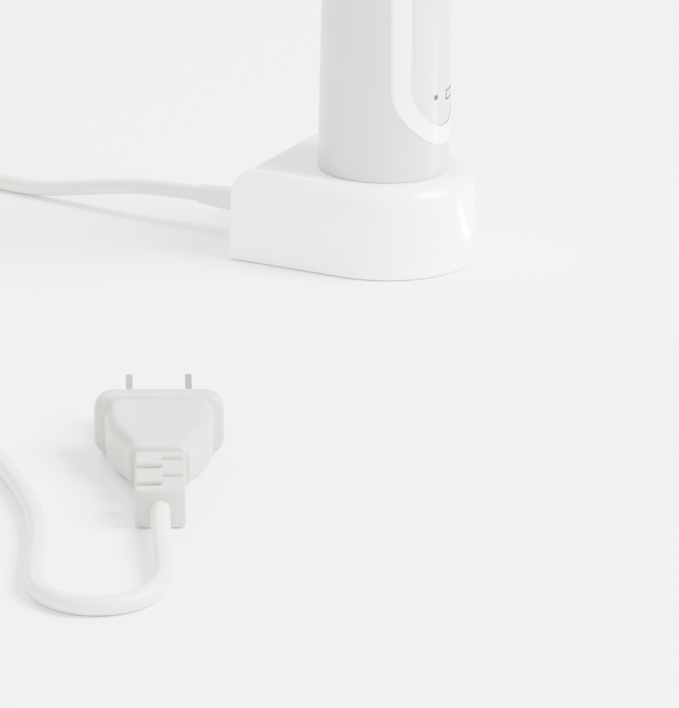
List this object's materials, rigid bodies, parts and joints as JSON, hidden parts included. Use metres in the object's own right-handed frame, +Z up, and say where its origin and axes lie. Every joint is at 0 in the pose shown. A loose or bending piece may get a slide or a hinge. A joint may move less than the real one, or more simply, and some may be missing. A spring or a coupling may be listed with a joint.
{
  "type": "electric toothbrush on charger",
  "caption": "Upright electric toothbrush with brush head, front panel and buttons, standing on a D-shaped induction charger with a cord and a two-blade plug.",
  "frame": {"origin": "on the floor under the middle of the charger's footprint", "axes": "+Z up along the toothbrush, -Y the side of the buttons and bristles, +Y the charger's flat back and its cord, +X to the right seen from the front"},
  "size_m": [0.2528, 0.2212, 0.2781],
  "materials": {
    "charger_white": "glossy moulded ABS",
    "foot_rubber": "matte rubber",
    "ferrite": "sintered ferrite",
    "nylon_natural": "moulded nylon",
    "copper_wire": "enamelled copper winding",
    "board_green": "solder mask",
    "capacitor_sleeve": "heat-shrink sleeve",
    "cord_cream": "soft PVC",
    "plug_cream": "moulded PVC, satin",
    "blade_metal": "nickel-plated brass",
    "handle_silver": "satin pearl silver-white",
    "panel_white": "glossy white",
    "inlay_silver": "satin silver",
    "button_white": "soft gloss",
    "lens_grey": "smoked lens, unlit",
    "cap_white": "moulded white",
    "seal_rubber": "white silicone",
    "battery_wrap": "shrink wrap",
    "contact_metal": "nickel-plated strip",
    "core_steel": "laminated steel",
    "bearing_bronze": "sintered bronze",
    "shaft_steel": "ground stainless",
    "magnet_plating": "nickel-plated magnet",
    "head_white": "polished white",
    "ring_blue": "soft blue",
    "tuft_white": "nylon filament",
    "tuft_blue": "nylon filament"
  },
  "bodies": {
    "charger": {"charger_shell": "charger_white", "charger_base": "charger_white", "rubber_feet": "foot_rubber", "ferrite_core": "ferrite", "coil_bobbin": "nylon_natural", "primary_coil": "copper_wire", "charger_board": "board_green", "charger_capacitors": "capacitor_sleeve", "cord_strain_relief": "cord_cream", "cord_lead": "cord_cream", "cord_run": "cord_cream", "cord_coil": "cord_cream", "plug_body": "plug_cream", "plug_strain_relief": "plug_cream", "plug_blades": "blade_metal"},
    "handle": {"handle_housing": "handle_silver", "panel_frame": "panel_white", "panel_inlay": "inlay_silver", "panel_carrier": "nylon_natural", "indicator_lenses": "lens_grey", "charge_lens": "lens_grey", "bottom_cap": "cap_white", "bottom_seal": "seal_rubber", "shaft_seal": "seal_rubber", "chassis": "nylon_natural", "battery_cell": "battery_wrap", "battery_contacts": "contact_metal", "control_board": "board_green", "tact_switches": "contact_metal", "secondary_coil": "copper_wire", "motor_core": "core_steel", "motor_coil": "copper_wire", "rear_bearing": "bearing_bronze", "front_bearing": "bearing_bronze", "torsion_bar": "shaft_steel"},
    "drive": {"drive_shaft": "shaft_steel", "magnet_carrier": "core_steel", "magnets": "magnet_plating"},
    "brush_head": {"head_stem": "head_white", "head_ring": "ring_blue", "head_insert": "shaft_steel", "outer_tufts": "tuft_white", "inner_tufts": "tuft_blue"},
    "power_key": {"power_button": "button_white"},
    "mode_key": {"mode_button": "button_white"}
  },
  "joints": [
    {"name": "handle_lift", "type": "slide", "parent": "charger", "child": "handle", "axis": [0, 0, 1], "range_m": [0, 0.06]},
    {"name": "shaft_swing", "type": "hinge", "parent": "handle", "child": "drive", "pos_m": [0, -0.0039, 0.2], "axis": [0, 0, 1], "range_deg": [-5, 5], "stiffness_Nm_per_rad": 0.3},
    {"name": "head_pull", "type": "slide", "parent": "drive", "child": "brush_head", "axis": [0, 0, 1], "range_m": [0, 0.03]},
    {"name": "power_press", "type": "slide", "parent": "handle", "child": "power_key", "axis": [0, 1, 0], "range_m": [0, 0.0005], "stiffness_N_per_m": 600},
    {"name": "mode_press", "type": "slide", "parent": "handle", "child": "mode_key", "axis": [0, 1, 0], "range_m": [0, 0.0005], "stiffness_N_per_m": 600}
  ]
}
